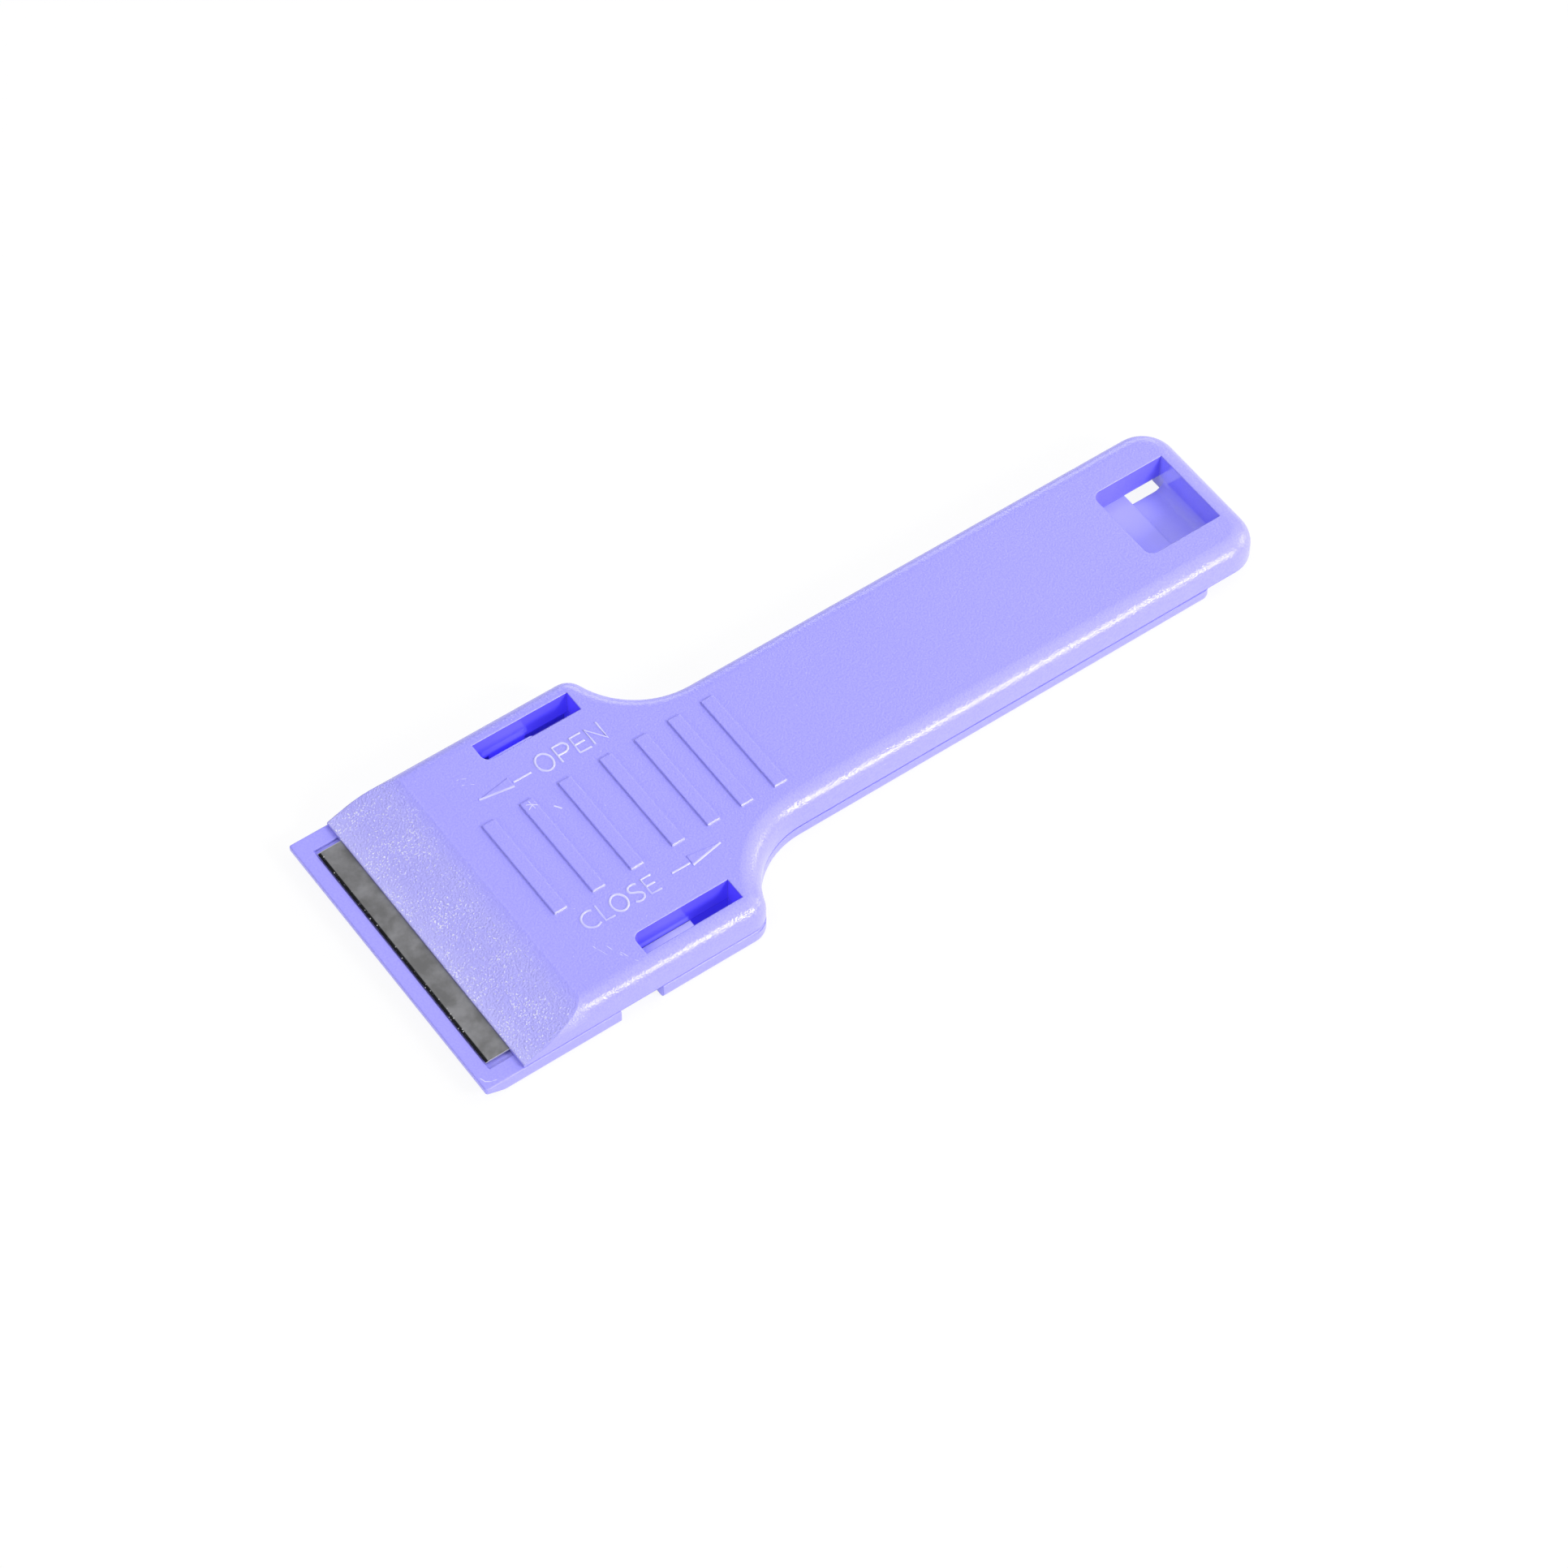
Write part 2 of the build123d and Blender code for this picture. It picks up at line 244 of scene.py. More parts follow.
dustDot = remap(grainGroup, -200, -420, dust.outputs["Distance"], *grainLook["dustDot"])
tone = remap(grainGroup, -200, 280, fine.outputs["Fac"], *grainLook["toneRange"])
links.new(fine.outputs["Fac"], end.inputs["Height"])
links.new(slow.outputs["Fac"], end.inputs["Drift"])
links.new(dustDot, end.inputs["Specks"])
links.new(tone, end.inputs["Tone"])

# coarse pebble of the ramp: rounded cells, with small painted glints on the crests, in thicker and thinner
# areas
pebbleLook = {
    "cellSmoothness": 0.6,
    "cellHollow": -0.55,
    "lumpDetail": 3.0,
    "lumpRoughness": 0.6,
    "thicketPerMetre": 260.0,
    "thicketDetail": 1.0,
    "thicketRange": (0.35, 0.65),
    "paintedGlintFrom": (0.625, 0.56),       # height at which the painted glints begin, where they are thin and thick
    "paintedGlintSharpness": 14.0,
}

pebbleGroup, start, end = newGroup(
    "rampPebble",
    [("Vector", "NodeSocketVector", None), ("Cell Size", "NodeSocketFloat", 0.00042)],
    [("Height", "NodeSocketFloat"), ("Painted Glints", "NodeSocketFloat")],
)
links = pebbleGroup.links
perCell = math2(pebbleGroup, "DIVIDE", -700, -60, 1.0, start.outputs["Cell Size"])
cells = place(pebbleGroup, "ShaderNodeTexVoronoi", -450, 160, {"feature": "SMOOTH_F1"}, {
    "Smoothness": pebbleLook["cellSmoothness"], "Randomness": 1.0})
lumps = place(pebbleGroup, "ShaderNodeTexNoise", -450, -160, values={
    "Detail": pebbleLook["lumpDetail"], "Roughness": pebbleLook["lumpRoughness"]})
for texture in (cells, lumps):
    links.new(start.outputs["Vector"], texture.inputs["Vector"])
    links.new(perCell, texture.inputs["Scale"])
hollow = math2(pebbleGroup, "MULTIPLY", -200, 160, cells.outputs["Distance"], pebbleLook["cellHollow"])
pebbleHeight = math2(pebbleGroup, "ADD", 0, 60, hollow, lumps.outputs["Fac"])
thicket = place(pebbleGroup, "ShaderNodeTexNoise", -450, -460, values={
    "Scale": pebbleLook["thicketPerMetre"], "Detail": pebbleLook["thicketDetail"]})
links.new(start.outputs["Vector"], thicket.inputs["Vector"])
threshold = remap(pebbleGroup, -200, -460, thicket.outputs["Fac"],
                  *pebbleLook["thicketRange"], *pebbleLook["paintedGlintFrom"])
above = math2(pebbleGroup, "SUBTRACT", 0, -260, lumps.outputs["Fac"], threshold)
# painted glints: the crests of the lumps, which are drawn near-white
paintedGlints = math2(pebbleGroup, "MULTIPLY", 200, -260, above, pebbleLook["paintedGlintSharpness"], clamp=True)
links.new(pebbleHeight, end.inputs["Height"])
links.new(paintedGlints, end.inputs["Painted Glints"])

# a soft mask of a box, and of the same box on the other side of the middle
pocketGroup, start, end = newGroup(
    "pocketMask",
    [("Vector", "NodeSocketVector", None), ("Middle", "NodeSocketVector", None),
     ("Half Size", "NodeSocketVector", None), ("Soft Edge", "NodeSocketFloat", 0.0003)],
    [("Mask", "NodeSocketFloat")],
)
links = pocketGroup.links
parts = place(pocketGroup, "ShaderNodeSeparateXYZ", -700, 0)
links.new(start.outputs["Vector"], parts.inputs[0])
oneSide = place(pocketGroup, "ShaderNodeCombineXYZ", -400, 0)
links.new(parts.outputs["X"], oneSide.inputs["X"])
links.new(math2(pocketGroup, "ABSOLUTE", -550, -60, parts.outputs["Y"]), oneSide.inputs["Y"])
links.new(parts.outputs["Z"], oneSide.inputs["Z"])
fromMiddle = vectorMath(pocketGroup, "SUBTRACT", -250, 0, oneSide.outputs[0], start.outputs["Middle"])
spread = place(pocketGroup, "ShaderNodeVectorMath", -100, 0, {"operation": "ABSOLUTE"})
links.new(fromMiddle.outputs[0], spread.inputs[0])
room = vectorMath(pocketGroup, "SUBTRACT", 50, 0, start.outputs["Half Size"], spread.outputs[0])
sides = place(pocketGroup, "ShaderNodeSeparateXYZ", 200, 0)
links.new(room.outputs[0], sides.inputs[0])
least = math2(pocketGroup, "MINIMUM", 350, 60, sides.outputs["X"], sides.outputs["Y"])
least = math2(pocketGroup, "MINIMUM", 450, 0, least, sides.outputs["Z"])
softened = math2(pocketGroup, "DIVIDE", 550, 0, least, start.outputs["Soft Edge"], clamp=True)
links.new(softened, end.inputs["Mask"])

# one thin scratch between two points on the surface
scratchLook = {
    "wobblePerMetre": 700.0,
    "wobbleDetail": 1.0,
    "noiseMiddle": 0.5,
    "fade": (1.0, 0.35),              # share of the width, from no tone to full tone
}

scratchGroup, start, end = newGroup(
    "scratch",
    [("Vector", "NodeSocketVector", None), ("From", "NodeSocketVector", None),
     ("To", "NodeSocketVector", None), ("Width", "NodeSocketFloat", 0.00012),
     ("Wander", "NodeSocketFloat", 0.0003)],
    [("Mask", "NodeSocketFloat")],
)
links = scratchGroup.links
wobble = place(scratchGroup, "ShaderNodeTexNoise", -850, 300, values={
    "Scale": scratchLook["wobblePerMetre"], "Detail": scratchLook["wobbleDetail"]})
links.new(start.outputs["Vector"], wobble.inputs["Vector"])
centred = math2(scratchGroup, "SUBTRACT", -700, 300, wobble.outputs["Fac"], scratchLook["noiseMiddle"])
shift = math2(scratchGroup, "MULTIPLY", -550, 300, centred, start.outputs["Wander"])
shifted = vectorMath(scratchGroup, "ADD", -400, 300, start.outputs["Vector"], shift)
offset = vectorMath(scratchGroup, "SUBTRACT", -250, 200, shifted.outputs[0], start.outputs["From"])
run = vectorMath(scratchGroup, "SUBTRACT", -250, 0, start.outputs["To"], start.outputs["From"])
reach = vectorMath(scratchGroup, "DOT_PRODUCT", -100, 200, offset.outputs[0], run.outputs[0])
lengthSquared = vectorMath(scratchGroup, "DOT_PRODUCT", -100, 0, run.outputs[0], run.outputs[0])
share = math2(scratchGroup, "DIVIDE", 50, 100, reach.outputs["Value"], lengthSquared.outputs["Value"],
              clamp=True)
nearest = place(scratchGroup, "ShaderNodeVectorMath", 200, 0, {"operation": "SCALE"})
links.new(run.outputs[0], nearest.inputs[0])
links.new(share, nearest.inputs["Scale"])
away = vectorMath(scratchGroup, "DISTANCE", 350, 100, offset.outputs[0], nearest.outputs[0])
relative = math2(scratchGroup, "DIVIDE", 450, 200, away.outputs["Value"], start.outputs["Width"])
scratchMask = remap(scratchGroup, 550, 200, relative, *scratchLook["fade"])
links.new(scratchMask, end.inputs["Mask"])


def useGrain(tree, x, y, position, grainSize, driftSize):
    # the moulded grain, with its sizes in millimetres
    return useGroup(tree, grainGroup, x, y, position, {
        "Grain Size": grainSize * mm, "Drift Size": driftSize * mm})


def boxMask(tree, x, y, position, middle, halfSize, softEdge):
    # the mask of a box given in millimetres
    box = useGroup(tree, pocketGroup, x, y, position, {
        "Middle": along(*middle), "Half Size": [side * mm for side in halfSize],
        "Soft Edge": softEdge * mm})
    return box.outputs["Mask"]


def addScratches(tree, x, y, position, marks):
    # the strongest of several scratches
    total = None
    for number, (fromPoint, toPoint, width, wander) in enumerate(marks):
        mark = useGroup(tree, scratchGroup, x, y - 220 * number, position, {
            "From": along(*fromPoint), "To": along(*toPoint), "Width": width * mm,
            "Wander": wander * mm})
        if total is None:
            total = mark.outputs["Mask"]
        else:
            total = math2(tree, "MAXIMUM", x + 200, y - 220 * number, total, mark.outputs["Mask"])
    return total


print("shader groups built")


# moulded plastic, for the shell and the base

plastic = {
    "colour": (0.352, 0.332, 0.95),
    "driftColour": (0.344, 0.324, 0.945),
    "grainDark": (0.29, 0.27, 0.93),
    "grainPale": (0.42, 0.40, 0.96),
    "paleColour": (0.60, 0.59, 1.0),
    # deeper tone in the pockets: partly the polished walls' own tone, partly painted shade
    "pocketShadeColour": (0.125, 0.095, 0.82),
    # near-white of the painted glints on the ramp's pebble crests
    "paintedGlintColour": (0.95, 0.95, 1.0),
    # pale tone of scratches and dust, also used for the painted highlight on rims that face the near side
    "scuffAndHighlightColour": (0.80, 0.79, 0.98),
    # painted glow in the pockets
    "paintedGlowColour": (0.020, 0.012, 0.23),
    "refraction": 1.58,
    "grainSize": 0.28,
    "grainShare": 0.35,               # how much of the grain's tone goes into the colour
    "driftSize": 22.0,
    "driftRange": (0.35, 0.65),
    "roughRange": (0.3, 0.7),
    "roughSpread": 0.015,
    "upward": (0.10, 0.40),           # grain fades in between these upward parts of the normal
    "edgeRound": 0.28,
    "edgeSamples": 6,
    "pocketEdge": 0.12,
    "polish": 0.13,                   # roughness inside the pockets
    "speckShare": 0.5,
    "wearAndHighlightShare": 0.7,
}


def makePlastic(name, look):
    material, tree, shader = newMaterial(name)
    links = tree.links
    coordinates = place(tree, "ShaderNodeTexCoord", -1600, 0)
    position = coordinates.outputs["Object"]
    axes = place(tree, "ShaderNodeSeparateXYZ", -1350, -200)
    links.new(position, axes.inputs[0])
    grain = useGrain(tree, -1100, 200, position, plastic["grainSize"], plastic["driftSize"])
    drift = remap(tree, -850, 300, grain.outputs["Drift"], *plastic["driftRange"])
    colour = blend(tree, -650, 300, drift, plastic["driftColour"], plastic["colour"])
    fineTone = blend(tree, -650, 480, grain.outputs["Tone"], plastic["grainDark"], plastic["grainPale"])
    colour = blend(tree, -550, 380, plastic["grainShare"], colour, fineTone)
    rough = remap(tree, -400, -120, grain.outputs["Drift"], *plastic["roughRange"],
                  look["roughness"] - plastic["roughSpread"], look["roughness"] + plastic["roughSpread"])
    facing = place(tree, "ShaderNodeSeparateXYZ", -1350, -380)
    links.new(coordinates.outputs["Normal"], facing.inputs[0])
    upward = remap(tree, -1100, -420, facing.outputs["Z"], *plastic["upward"])

    # grain only where the mould is textured: not on upright walls or in the pockets
    inside = None
    pocketShade = None
    for number, (middle, halfSize, depth) in enumerate(look["pockets"]):
        y = -700 - 200 * number
        mask = boxMask(tree, -1350, y, position, middle, halfSize, plastic["pocketEdge"])
        toned = math2(tree, "MULTIPLY", -1200, y - 60, mask, depth)
        inside = mask if inside is None else math2(tree, "MAXIMUM", -1050, y, inside, mask)
        pocketShade = toned if pocketShade is None else math2(tree, "MAXIMUM", -1050, y - 60, pocketShade, toned)
    textured = upward
    glow = black
    if inside is not None:
        outside = math2(tree, "SUBTRACT", -900, -700, 1.0, inside)
        textured = math2(tree, "MULTIPLY", -800, -560, upward, outside)
        # in the pockets: a deeper tone that is partly the polished walls' own and partly painted shade, a
        # lower roughness, and a painted glow
        colour = blend(tree, -450, 300, pocketShade, colour, plastic["pocketShadeColour"])
        polished = remap(tree, -450, -260, inside, 0.0, 1.0, 1.0, plastic["polish"] / look["roughness"])
        rough = math2(tree, "MULTIPLY", -250, -160, rough, polished)
        glow = blend(tree, 250, -100, pocketShade, glow, plastic["paintedGlowColour"])
    grainHeight = math2(tree, "MULTIPLY", -500, -480, grain.outputs["Height"], textured)
    edges = place(tree, "ShaderNodeBevel", -700, -560, {"samples": plastic["edgeSamples"]}, {
        "Radius": plastic["edgeRound"] * mm})
    normal = addBump(tree, -300, -420, grainHeight, look["grainDepth"], edges.outputs["Normal"])

    # the ramp down to the blade is pebbled, pale towards its front, and carries painted glints on its
    # pebble crests
    ramp = look["ramp"]
    if ramp is not None:
        onRamp = remap(tree, -1100, -200, axes.outputs["X"], *map(station, ramp["fade"]))
        rampMask = math2(tree, "MULTIPLY", -900, -260, onRamp, textured)
        pebble = useGroup(tree, pebbleGroup, -1100, -640, position, {"Cell Size": ramp["cellSize"] * mm})
        height = math2(tree, "MULTIPLY", -500, -640, pebble.outputs["Height"], rampMask)
        normal = addBump(tree, -60, -520, height, ramp["depth"], normal)
        frontPale = remap(tree, -900, 60, axes.outputs["X"],
                          *map(station, ramp["paleFade"]), *ramp["paleness"])
        paleness = math2(tree, "MULTIPLY", -300, 0, frontPale, rampMask)
        colour = blend(tree, -50, 200, paleness, colour, plastic["paleColour"])
        # painted glints: near-white dots on the pebble crests, stronger at the front
        paintedGlint = math2(tree, "MULTIPLY", -300, -60, pebble.outputs["Painted Glints"], rampMask)
        paintedGlintShare = remap(tree, -900, -40, axes.outputs["X"],
                           *map(station, ramp["paintedGlintFade"]), *ramp["paintedGlints"])
        paintedGlint = math2(tree, "MULTIPLY", -150, -60, paintedGlint, paintedGlintShare)
        colour = blend(tree, 80, 200, paintedGlint, colour, plastic["paintedGlintColour"])

    # painted light and shade: bands and patches with their own tone and a painted glow, for painted
    # reflections, shade lines and lit floors in the slots, the window and the hook mouths
    for number, (middle, halfSize, softEdge, fade, paintedTint, paintedTintGlow) in enumerate(look["paintedTints"]):
        y = 900 + 240 * number
        mask = boxMask(tree, -900, y, position, middle, halfSize, softEdge)
        if fade is not None:
            shown = remap(tree, -900, y - 150, axes.outputs["X"], *map(station, fade))
            mask = math2(tree, "MULTIPLY", -700, y, shown, mask)
        colour = blend(tree, -300, y, mask, colour, paintedTint)
        glow = blend(tree, -100, y, mask, glow, paintedTintGlow)
    # the painted glow of the pockets and tints is given out as emission
    links.new(glow, shader.inputs["Emission Color"])
    shader.inputs["Emission Strength"].default_value = 1.0

    # scratches, a painted highlight on the rims that face the near side, and dust
    marks = addScratches(tree, -1100, 1400, position, look["marks"])
    rim = look["rim"]
    if rim is not None:
        # painted highlight: high parts whose normal points to the near side get the pale tone
        highUp = remap(tree, -900, 700, axes.outputs["Z"], *[height * mm for height in rim["heights"]])
        nearSide = remap(tree, -900, 560, facing.outputs["Y"], *rim["facing"])
        rims = math2(tree, "MULTIPLY", -700, 640, highUp, nearSide)
        marks = math2(tree, "MAXIMUM", -100, 700, marks, rims)
    dusty = math2(tree, "MULTIPLY", -100, 520, grain.outputs["Specks"], plastic["speckShare"])
    wearAndHighlight = math2(tree, "MAXIMUM", 100, 420, marks, dusty)
    wearAndHighlight = math2(tree, "MULTIPLY", 150, 520, wearAndHighlight, plastic["wearAndHighlightShare"])
    # scratches, dust and the painted rim highlight are drawn in the pale tone
    colour = blend(tree, 250, 260, wearAndHighlight, colour, plastic["scuffAndHighlightColour"])
    links.new(colour, shader.inputs["Base Color"])
    links.new(rough, shader.inputs["Roughness"])
    links.new(normal, shader.inputs["Normal"])
    shader.inputs["IOR"].default_value = plastic["refraction"]
    return material


# top shell

shell = {
    "roughness": 0.20,
    "grainDepth": 0.055,
    "pockets": (
        # middle and half size of the slots, the window and its side walls, and how deep their tone is,
        # which is partly painted shade
        ((33.3, 17.95, 3.2), (7.45, 1.75, 3.48), 1.0),
        ((121.0, 0.0, 4.5), (5.95, 6.4, 2.18), 0.25),
        ((121.0, 6.4, 4.68), (6.0, 0.3, 2.0), 0.55),
    ),
    "ramp": {
        "cellSize": 0.26,
        "depth": 0.14,
        "fade": (16.0, 13.4),         # stations, from the flat top to the full pebble
        "paleFade": (9.0, 5.7),
        "paleness": (0.30, 0.55),
        # strength of the painted glints on the crests, from the front of the ramp to its back
        "paintedGlintFade": (5.7, 15.6),
        "paintedGlints": (0.85, 0.55),
    },
    # painted highlight on high rims that face the near side
    "rim": {
        "heights": (6.56, 6.62),
        "facing": (-0.35, -0.70),     # the normal's part towards the near side
    },
    "paintedTints": (
        # painted light and shade: middle, half size, soft edge, stations between which it fades in, colour,
        # painted glow
        # pale band with a painted glow low on the slots' inner walls: a painted reflection of the ledge
        # below
        ((30.4, 16.3, 3.3), (4.3, 0.5, 0.6), 0.5, None, (0.34, 0.31, 0.94), (0.05, 0.045, 0.26)),
        # dark line at the foot of the slots' inner walls: painted shade in the gap above the base
        ((30.4, 16.3, 2.6), (4.4, 0.5, 0.12), 0.05, None, (0.05, 0.035, 0.50), black),
        # paler band with a painted glow low on the slots' outer walls: a painted reflection of the ledge
        # below
        ((30.6, 19.6, 3.5), (3.4, 0.4, 0.8), 0.4, None, (0.26, 0.22, 0.93), (0.035, 0.028, 0.27)),
        # paler tone with a faint painted glow on the catch at the bottom of the window: painted light
        ((122.8, 0.0, 1.6), (4.4, 6.3, 1.2), 0.6, None, (0.42, 0.40, 0.96), (0.02, 0.02, 0.03)),
    ),
    "marks": (
        # start, end, width and wander
        ((26.4, 7.6, 7.0), (27.5, 6.8, 7.0), 0.09, 0.4),
        ((26.3, 6.8, 7.0), (27.6, 7.5, 7.0), 0.08, 0.4),
        ((26.9, 7.9, 7.0), (27.0, 6.5, 7.0), 0.07, 0.3),
        ((29.3, 5.6, 6.7), (29.8, 4.8, 6.7), 0.13, 0.1),
        ((21.2, -14.9, 6.7), (22.4, -17.9, 6.7), 0.05, 0.4),
        ((22.5, -15.6, 6.7), (23.8, -19.0, 6.7), 0.05, 0.4),
        ((23.5, -17.6, 6.7), (24.7, -20.3, 6.7), 0.05, 0.4),
        ((20.6, 15.6, 6.7), (22.9, 14.3, 6.7), 0.05, 0.5),
        ((21.0, 16.3, 6.7), (23.0, 15.5, 6.7), 0.04, 0.5),
        ((43.0, 4.5, 7.0), (43.1, 4.4, 7.0), 0.16, 0.0),
    ),
}
shellPlastic = makePlastic("shellPlastic", shell)


# base with the guard lip

base = {
    "roughness": 0.30,
    "grainDepth": 0.0165,
    "pockets": (),
    "ramp": None,
    "rim": None,
    # painted light and shade: middle, half size, soft edge, stations between which it fades in, colour,
    # painted glow
    "paintedTints": (
        # pale tone with a painted glow on the ledges seen in the slots, stronger towards the back: painted
        # light
        ((31.5, 17.9, 2.5), (7.0, 2.2, 0.3), 0.2, (24.0, 32.0), (0.80, 0.79, 0.98), (0.10, 0.09, 0.16)),
        # dark blue with a painted glow in the hook mouths under the slots: painted shade
        ((33.9, 18.2, 1.2), (11.2, 2.45, 1.28), 0.1, None, (0.10, 0.075, 0.75), (0.020, 0.014, 0.26)),
        # paler top of the base's tail seen through the window: painted light
        ((118.0, 0.0, 2.5), (3.4, 6.6, 0.3), 0.3, None, (0.42, 0.40, 0.96), black),
    ),
    "marks": (
        ((0.5, -20.6, 2.5), (0.7, -21.3, 2.5), 0.07, 0.2),
        ((0.7, -21.3, 2.5), (1.3, -21.8, 2.5), 0.07, 0.2),
        ((1.3, -21.8, 2.5), (2.0, -21.9, 2.5), 0.06, 0.2),
        ((1.2, -22.3, 2.3), (4.2, -22.4, 1.6), 0.12, 0.6),
    ),
}
basePlastic = makePlastic("basePlastic", base)
print("plastics made")


# blade

blade = {
    "colour": (0.35, 0.35, 0.365),
    "stainColour": (0.245, 0.245, 0.248),
    "speckColour": (0.30, 0.29, 0.29),
    "groundColour": (0.012, 0.012, 0.014),
    "streakColour": (0.10, 0.11, 0.13),
    # pale steel of the nicks and the sheared ends, at the ends partly a painted highlight
    "paleSteelColour": (0.75, 0.75, 0.76),
    "metal": 0.85,
    "roughRange": (0.3, 0.7, 0.36, 0.48),
    "cloudPerMetre": 260.0,
    "cloudDetail": 4.0,
    "cloudRoughness": 0.6,
    "stainRange": (0.40, 0.62),
    "grainSize": 0.3,
    "driftSize": 10.0,
    "streaksPerMetre": (1500.0, 6500.0, 1500.0),
    "streakDetail": 3.0,
    "streakRoughness": 0.6,
    "streakRange": (0.58, 0.74),
    "streakDepth": 0.003,
    "groundEnd": 2.62,                # station where the ground bevel ends
    "groundFade": (0.06, -0.06),      # steps from groundEnd
    "nickFade": (0.22, 0.04),         # steps from groundEnd
    "halfLength": 19.25,
    "shearedEndHighlightFade": (-0.10, -0.03),    # steps from halfLength
    "nicksPerMetre": 1900.0,
    "nickDot": (0.20, 0.10),
}

bladeSteel, tree, shader = newMaterial("bladeSteel")
links = tree.links
coordinates = place(tree, "ShaderNodeTexCoord", -1400, 0)
position = coordinates.outputs["Object"]
axes = place(tree, "ShaderNodeSeparateXYZ", -1200, -200)
links.new(position, axes.inputs[0])
cloud = place(tree, "ShaderNodeTexNoise", -1150, 300, values={
    "Scale": blade["cloudPerMetre"], "Detail": blade["cloudDetail"], "Roughness": blade["cloudRoughness"]})
links.new(position, cloud.inputs["Vector"])
stain = remap(tree, -900, 300, cloud.outputs["Fac"], *blade["stainRange"])
rolled = blend(tree, -650, 300, stain, blade["stainColour"], blade["colour"])
specks = useGrain(tree, -1150, 600, position, blade["grainSize"], blade["driftSize"])
speckled = blend(tree, -400, 400, specks.outputs["Specks"], rolled, blade["speckColour"])

# the ground bevel, dark with fine streaks across it
streaks = place(tree, "ShaderNodeTexNoise", -900, -60, values={
    "Scale": 1.0, "Detail": blade["streakDetail"], "Roughness": blade["streakRoughness"]})
stretch = place(tree, "ShaderNodeVectorMath", -1150, -20, {"operation": "MULTIPLY"})
stretch.inputs[1].default_value = blade["streaksPerMetre"]
links.new(position, stretch.inputs[0])
links.new(stretch.outputs[0], streaks.inputs["Vector"])
streakMask = remap(tree, -650, -60, streaks.outputs["Fac"], *blade["streakRange"])
ground = blend(tree, -400, 0, streakMask, blade["groundColour"], blade["streakColour"])
onGround = remap(tree, -900, -300, axes.outputs["X"],
                 *[station(blade["groundEnd"] + step) for step in blade["groundFade"]])
bladeColour = blend(tree, -100, 200, onGround, speckled, ground)

# small bright nicks behind the bevel, and the blade's pale sheared ends, which are partly a painted
# highlight on the end faces
nicks = place(tree, "ShaderNodeTexVoronoi", -900, -500, values={
    "Scale": blade["nicksPerMetre"], "Randomness": 1.0})
links.new(position, nicks.inputs["Vector"])
nearEdge = remap(tree, -650, -560, axes.outputs["X"],
                 *[station(blade["groundEnd"] + step) for step in blade["nickFade"]])
nickDots = remap(tree, -650, -420, nicks.outputs["Distance"], *blade["nickDot"])
nick = math2(tree, "MULTIPLY", -400, -500, nickDots, nearEdge)
bladeColour = blend(tree, 0, 320, nick, bladeColour, blade["paleSteelColour"])
# pale sheared ends, partly a painted highlight on the end faces
acrossBlade = math2(tree, "ABSOLUTE", -900, -700, axes.outputs["Y"])
shearedEndHighlight = remap(tree, -650, -700, acrossBlade,
                *[(blade["halfLength"] + step) * mm for step in blade["shearedEndHighlightFade"]])
bladeColour = blend(tree, 100, 320, shearedEndHighlight, bladeColour, blade["paleSteelColour"])
links.new(bladeColour, shader.inputs["Base Color"])
links.new(remap(tree, -100, -100, cloud.outputs["Fac"], *blade["roughRange"]), shader.inputs["Roughness"])
shader.inputs["Metallic"].default_value = blade["metal"]
links.new(addBump(tree, 200, -300, streaks.outputs["Fac"], blade["streakDepth"]), shader.inputs["Normal"])


# folded back of the blade

fold = {
    "colour": (0.46, 0.455, 0.44),
    "driftColour": (0.30, 0.29, 0.29),
    "driftRange": (0.35, 0.65),
    "metal": 0.9,
    "roughRange": (0.3, 0.7, 0.3, 0.45),
    "grainSize": 0.25,
    "driftSize": 8.0,
    "grainDepth": 0.004,
}

foldSteel, tree, shader = newMaterial("foldSteel")
links = tree.links
coordinates = place(tree, "ShaderNodeTexCoord", -1400, 0)
grain = useGrain(tree, -1100, 200, coordinates.outputs["Object"], fold["grainSize"], fold["driftSize"])
foldTone = remap(tree, -850, 200, grain.outputs["Drift"], *fold["driftRange"])
foldColour = blend(tree, -500, 200, foldTone, fold["driftColour"], fold["colour"])
links.new(foldColour, shader.inputs["Base Color"])
links.new(remap(tree, -500, -100, grain.outputs["Height"], *fold["roughRange"]), shader.inputs["Roughness"])
shader.inputs["Metallic"].default_value = fold["metal"]
links.new(addBump(tree, 200, -300, grain.outputs["Height"], fold["grainDepth"]), shader.inputs["Normal"])
print("steels made")

for nodeName, material in (
    ("top_shell", shellPlastic), ("base_guard", basePlastic),
    ("razor_blade", bladeSteel), ("blade_spine", foldSteel),
):
    nodes[nodeName].data.materials.clear()
    nodes[nodeName].data.materials.append(material)
print("materials given to the CAD pieces")


# raised words and arrows on the head

def arc(centre, radiusX, radiusY, fromAngle, toAngle, steps=14):
    angles = [math.radians(fromAngle + (toAngle - fromAngle) * step / steps) for step in range(steps + 1)]
    return [(centre[0] + radiusX * math.cos(turn), centre[1] + radiusY * math.sin(turn)) for turn in angles]


